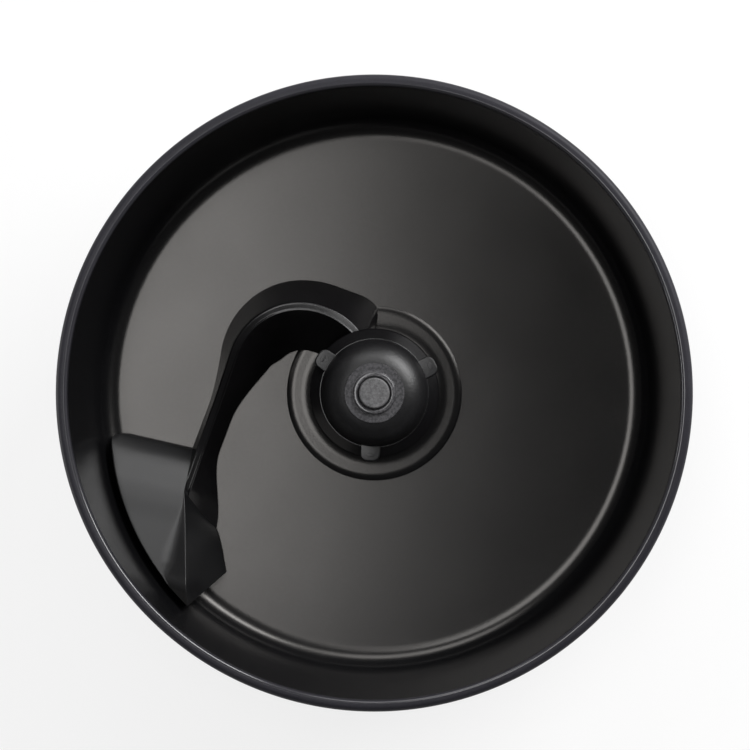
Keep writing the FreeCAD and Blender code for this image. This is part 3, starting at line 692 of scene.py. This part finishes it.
def outerEdge(station, z, inset):
    start = bladeOrigin + noseBack * station
    along = start.dot(noseAlong)
    limit = wallLimit(z) - inset
    return -along + math.sqrt(max(along ** 2 - start.dot(start) + limit ** 2, 0.0))


def sideFoot(station, inset, least, top):
    # height at which the wall side comes clear of the tail's cut
    low = blade["footZ"]
    if outerEdge(station, low, inset) >= least:
        return low
    high = top
    for _ in range(24):        # halving
        middle = (low + high) / 2
        if outerEdge(station, middle, inset) < least:
            low = middle
        else:
            high = middle
    return high


def bladeSection(station, inset):
    # from the foot by the wall, over the edge and the ridge, to the inner foot or the tail
    height, ridge, foot = bladeValues(station)
    top = bowl["floorZ"] + height - blade["pocketTop"] * inset
    ridge += blade["pocketRidge"] * inset
    foot += blade["pocketFoot"] * inset
    soft = 0.0 if inset else 1.0        # the pocket has sharp corners
    hair = blade["hair"]
    corner = 0.0
    ahead = blade["nose"] + blade["noseRound"] - station
    if inset == 0 and ahead > 0:
        corner = blade["noseRound"] - math.sqrt(max(blade["noseRound"] ** 2 - ahead ** 2, 0.0))
    tailLow, tailHigh = blade["tail"]
    lean = (tailHigh[0] - tailLow[0]) / (tailHigh[1] - tailLow[1])
    tail = tailLow[0] + (station - tailLow[1]) * lean + inset * math.hypot(1, lean)
    lowest = sideFoot(station, inset, tail + blade["thinnest"], top)
    side = []
    for share in blade["sideShares"]:
        z = lowest + (top - lowest) * share
        side.append(Vector((outerEdge(station, z, inset) - corner, z)))
    edge = Vector((outerEdge(station, top, inset) - corner, top))
    browPlace = max(blade["plateau"] * blendStep(station, *blade["plateauFrom"]), ridge)
    brow = Vector((softMin(browPlace, edge.x - 2 * hair, blade["browBlend"]), top))
    crest = Vector((min(ridge, brow.x - hair), top))
    crest.y += blade["facetRise"] * (brow.x - crest.x)
    end = Vector((foot, blade["footZ"]))
    below = end.copy()
    endArc = [end.copy() for _ in range(blade["arcSteps"] + 1)]
    if tail > foot:
        share = min(max((crest.x - tail) / max(crest.x - foot, hair), 0.0), 1.0)
        end = Vector((min(tail, crest.x - hair), crest.y + (blade["footZ"] - crest.y) * share))
        below = Vector((end.x, lowest))
        endArc = cornerArc(crest, end, below, blade["tailRound"] * soft, blade["arcSteps"])
    edgeArc = cornerArc(side[-1], edge, brow, blade["edgeRound"] * soft, blade["arcSteps"])
    browArc = cornerArc(edge, brow, crest, blade["plateauRound"] * soft, blade["foldSteps"])
    crestArc = cornerArc(brow, crest, end, blade["ridgeRound"] * soft, blade["foldSteps"])
    line = side + edgeArc + between(edgeArc[-1], browArc[0], blade["topSteps"]) + browArc
    line += between(browArc[-1], crestArc[0], blade["facetSteps"]) + crestArc
    line += between(crestArc[-1], endArc[0], blade["innerSteps"]) + endArc + [below]
    if inset:
        # the pocket opens at the foot
        line = [side[0] - Vector((0.0, openBelow))] + line + [below - Vector((0.0, openBelow))]
    return line


def bladeMesh(first, last, inset):
    rows = []
    for step in range(blade["stations"] + 1):
        share = step / blade["stations"]
        share = 0.5 * share + 0.25 * (1 - math.cos(math.pi * share))        # closer together at both ends
        station = first + (last - first) * share
        place = bladeOrigin + noseBack * station
        rows.append([(*(place + noseAlong * across), z) for across, z in bladeSection(station, inset)])
    return loftMesh(rows)


bladeShape = cutAway(bladeMesh(blade["nose"], blade["tip"], 0.0),
                     bladeMesh(*blade["pocket"], blade["wall"]))
newPiece("paddleBlade", [bladeShape], moulded["blade"], "paddle", ["paddle_blade"],
         blade["crease"])


cap = {
    "foot": [(22.8, 56.5), (25.2, 56.5, 0.15), (25.2, 57.3, 0.2)],
    "inside": [(14.0, 69.0), (12.1, 69.0), (12.1, 67.5), (22.0, 67.5, 7.0)],
    "domeStart": 9.5, "domeAcross": 15.45, "domeRise": 13.45, "domeFoot": 57.6, "domeTop": 14.0,
    "domeSteps": 26, "segments": 256,
    "tabs": 3, "tabStart": -94.0, "tabRoot": 23.6, "tabReach": 31.8, "tabHalf": 4.65, "tabRound": 3.4,
    "tabLow": 52.4, "tabTop": 58.0, "tabSoft": 0.7, "skirt": 30.3, "skirtGap": 0.05, "legLow": 42.0,
    "legTop": 57.0, "legSteps": 10,
    "markPlace": 28.9, "markHalves": (1.0, 1.9), "markLow": 57.9, "markTop": 58.15, "markSoft": 0.15,
}


def domeMesh():
    # quarter of an ellipse from the foot to the disc
    last = math.asin((cap["domeTop"] - cap["domeStart"]) / cap["domeAcross"])
    profile = list(cap["foot"])
    for step in range(cap["domeSteps"] + 1):
        turn = math.pi / 2 + (last - math.pi / 2) * step / cap["domeSteps"]
        profile.append((cap["domeStart"] + cap["domeAcross"] * math.sin(turn),
                        cap["domeFoot"] + cap["domeRise"] * math.cos(turn)))
    return turnedMesh(profile + cap["inside"], cap["segments"])


def tabMesh():
    # tongue on the hub, leg outside the skirt and a raised mark
    half = cap["tabHalf"]
    out = cap["tabReach"]
    tongue = [(cap["tabRoot"], -half), (out, -half, cap["tabRound"]), (out, half, cap["tabRound"]),
              (cap["tabRoot"], half)]
    plate = plateMesh(tongue, cap["tabLow"], cap["tabTop"], cap["tabSoft"])
    hook = [point for point in roundedLoop(tongue) if point.length > cap["skirt"] + cap["skirtGap"]]
    low = math.atan2(hook[0].y, hook[0].x)
    high = math.atan2(hook[-1].y, hook[-1].x)
    turns = [high + (low - high) * step / cap["legSteps"] for step in range(cap["legSteps"] + 1)]
    inside = [(cap["skirt"] * math.cos(turn), cap["skirt"] * math.sin(turn)) for turn in turns]
    leg = plateMesh([tuple(point) for point in hook] + inside, cap["legLow"], cap["legTop"])
    mark = plateMesh(ovalOutline(cap["markPlace"], *cap["markHalves"]), cap["markLow"], cap["markTop"],
                     cap["markSoft"])
    return joined([plate, leg, mark])


tabRing = ringOf(tabMesh(), cap["tabs"], cap["tabStart"], moulded["cap"])
newPiece("hubCap", [domeMesh(), tabRing], moulded["cap"], "paddle", ["hub_cap"])

bezel = {
    "profile": [
        (7.4, 67.3), (9.8, 67.3), (9.8, 69.0), (13.9, 69.0), (13.9, 71.0, 0.25), (9.8, 71.0, 0.3),
        (9.8, 72.5, 0.8), (8.0, 72.5, 0.35), (7.4, 71.6, 0.15),
    ],
    "segments": 192,
}
newPiece("buttonBezel", [turnedMesh(bezel["profile"], bezel["segments"])], moulded["bezel"], "paddle",
         ["button_bezel"])


spring = {"wire": 0.0009, "turns": 4.5, "seatZ": 0.0625, "travel": 0.0025, "turnSteps": 48, "wireSides": 16}


def coilTree():
    # round wire along a spiral
    tree, source = newTree("coiledWire", {"Turns": "Float", "Coil Radius": "Float", "Height": "Float",
                                          "Wire Radius": "Float", "Finish": "Material"})
    spiral = tree.nodes.new("GeometryNodeCurveSpiral")
    spiral.inputs["Resolution"].default_value = spring["turnSteps"]
    ring = tree.nodes.new("GeometryNodeCurvePrimitiveCircle")
    ring.inputs["Resolution"].default_value = spring["wireSides"]
    tube = tree.nodes.new("GeometryNodeCurveToMesh")
    tube.inputs["Fill Caps"].default_value = True
    link = tree.links.new
    link(source["Turns"], spiral.inputs["Rotations"])
    link(source["Coil Radius"], spiral.inputs["Start Radius"])
    link(source["Coil Radius"], spiral.inputs["End Radius"])
    link(source["Height"], spiral.inputs["Height"])
    link(source["Wire Radius"], ring.inputs["Radius"])
    link(spiral.outputs[0], tube.inputs["Curve"])
    link(ring.outputs[0], tube.inputs["Profile Curve"])
    return endTree(tree, source, tube.outputs[0])


def coilMesh(low, high):
    wire = spring["wire"]
    mesh = runTree(bpy.data.meshes.new("coil"), coilTree(),
                   {"Turns": spring["turns"], "Coil Radius": high[0] - wire / 2,
                    "Height": high[2] - low[2] - wire, "Wire Radius": wire / 2, "Finish": metals["wire"]})
    mesh.transform(Matrix.Translation((0.0, 0.0, low[2] + wire / 2)))
    return sealed(mesh, 1e-7)


coilLow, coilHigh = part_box("button_spring")
springPiece = newPiece("buttonSpring", [coilMesh(coilLow, coilHigh)], metals["wire"], "paddle",
                       ["button_spring"])
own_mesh(springPiece)


carried = {
    "foot_ring": metals["footSteel"], "foot_ring_nuts": metals["fastener"],
    "housing_nut": metals["fastener"], "blade_screw": metals["fastener"],
    "retaining_clip": metals["fastener"], "coupling_pin": metals["fastener"],
    "foot_pads": moulded["rubber"], "housing_gasket": moulded["rubber"], "shaft_seal": moulded["rubber"],
    "bearing_housing": metals["alloy"], "upper_bush": metals["bronze"], "lower_bush": metals["bronze"],
    "drive_shaft": metals["shaftSteel"], "thrust_washer": metals["shaftSteel"],
    "drive_insert": metals["shaftSteel"], "drive_coupling": moulded["coupling"],
    "release_button": moulded["button"], "wire_clip": metals["wire"],
}
for node, material in carried.items():
    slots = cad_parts[node].data.materials
    slots.clear()
    slots.append(material)
print("frame pieces finished,", len(carried))


stage = {"floorZ": -0.0005, "floorRadius": 8.0, "sweepRadius": 9.0, "sweepHigh": 1.62, "sweepSteps": 10,
         "sides": 96, "pale": 0.9, "white": 0.8, "ambient": 0.065}


def stageMesh():
    # round floor that sweeps up into a low backdrop
    rise = stage["sweepRadius"] - stage["floorRadius"]
    bends = [math.pi / 2 * step / stage["sweepSteps"] for step in range(stage["sweepSteps"] + 1)]
    profile = [(stage["floorRadius"] + rise * math.sin(bend), stage["floorZ"] + rise * (1 - math.cos(bend)))
               for bend in bends]
    profile.append((stage["sweepRadius"], stage["sweepHigh"]))
    count = stage["sides"]
    turns = [2 * math.pi * turn / count for turn in range(count)]
    points = [(radius * math.cos(turn), radius * math.sin(turn), z)
              for radius, z in profile for turn in turns]
    faces = [tuple(range(count))]
    for level in range(len(profile) - 1):
        for turn in range(count):
            after = (turn + 1) % count
            faces.append((level * count + turn, level * count + after,
                          (level + 1) * count + after, (level + 1) * count + turn))
    mesh = bpy.data.meshes.new("studioFloor")
    mesh.from_pydata(points, [], faces)
    return mesh


def makeFloor():
    # white to the eye and in reflections, pale to other light
    material = bpy.data.materials.new("studioFloor")
    material.use_nodes = True
    tree = material.node_tree
    tree.nodes.clear()
    paths = tree.nodes.new("ShaderNodeLightPath").outputs
    seen = Signal(tree, paths["Is Camera Ray"])
    shown = seen + Signal(tree, paths["Is Glossy Ray"]) + Signal(tree, paths["Is Transmission Ray"])
    tone = stage["pale"]
    pale = seen.node("ShaderNodeBsdfDiffuse", None, {"Color": (tone, tone, tone, 1.0)})
    white = seen.node("ShaderNodeEmission", None, {"Color": (1.0, 1.0, 1.0, 1.0), "Strength": 1.0})
    mixed = seen.node("ShaderNodeMixShader", None, {0: shown * stage["white"], 1: pale, 2: white})
    end = tree.nodes.new("ShaderNodeOutputMaterial")
    tree.links.new(mixed.socket, end.inputs["Surface"])
    floor = bpy.data.objects.new("studioFloor", stageMesh())
    floor.data.materials.append(material)
    bpy.context.scene.collection.objects.link(floor)


def makeWorld():
    world = bpy.data.worlds.new("studio")
    bpy.context.scene.world = world
    world.use_nodes = True
    sky = world.node_tree.nodes["Background"].inputs
    sky["Color"].default_value = (1.0, 1.0, 1.0, 1.0)
    sky["Strength"].default_value = stage["ambient"]


lamps = {
    "overhead": {"place": (-0.33, 0.16, 1.6), "aim": (-0.33, 0.161, 0.0), "size": (0.56, 1.0),
                 "radiance": 5.0},
    "backRight": {"place": (1.0, 0.95, 0.85), "aim": (0.0, 0.0, 0.04), "size": (1.2, 0.7), "radiance": 12.5},
    "left": {"place": (-1.5, -0.1, 0.13), "aim": (0.0, 0.0, 0.08), "size": (0.9, 0.2), "radiance": 12.0},
    "back": {"place": (-0.25, 1.6, 1.25), "aim": (0.0, 0.0, 0.04), "size": (1.2, 0.7), "radiance": 3.9},
}


def makeLamp(name, lamp):
    light = bpy.data.lights.new(name, "AREA")
    light.shape = "RECTANGLE"
    light.size, light.size_y = lamp["size"]
    light.energy = math.pi * lamp["size"][0] * lamp["size"][1] * lamp["radiance"]
    holder = bpy.data.objects.new(name, light)
    holder.location = lamp["place"]
    aim = Vector(lamp["aim"]) - Vector(lamp["place"])
    holder.rotation_euler = aim.to_track_quat("-Z", "Y").to_euler()
    bpy.context.scene.collection.objects.link(holder)


view = {"height": 1.0845, "lens": 105.76, "sensor": 36.0, "shift": (0.0009, 0.0241)}


def makeCamera():
    camera = bpy.data.cameras.new("photoCamera")
    camera.sensor_width = view["sensor"]
    camera.sensor_fit = "HORIZONTAL"
    camera.lens = view["lens"]
    camera.shift_x, camera.shift_y = view["shift"]
    eye = bpy.data.objects.new("photoCamera", camera)
    eye.location = (0.0, 0.0, view["height"])        # straight above, looking down
    bpy.context.scene.collection.objects.link(eye)
    bpy.context.scene.camera = eye


for name, lamp in lamps.items():
    makeLamp(name, lamp)
makeFloor()
makeWorld()
makeCamera()
bpy.context.scene.view_settings.view_transform = "Standard"
print("stage set")
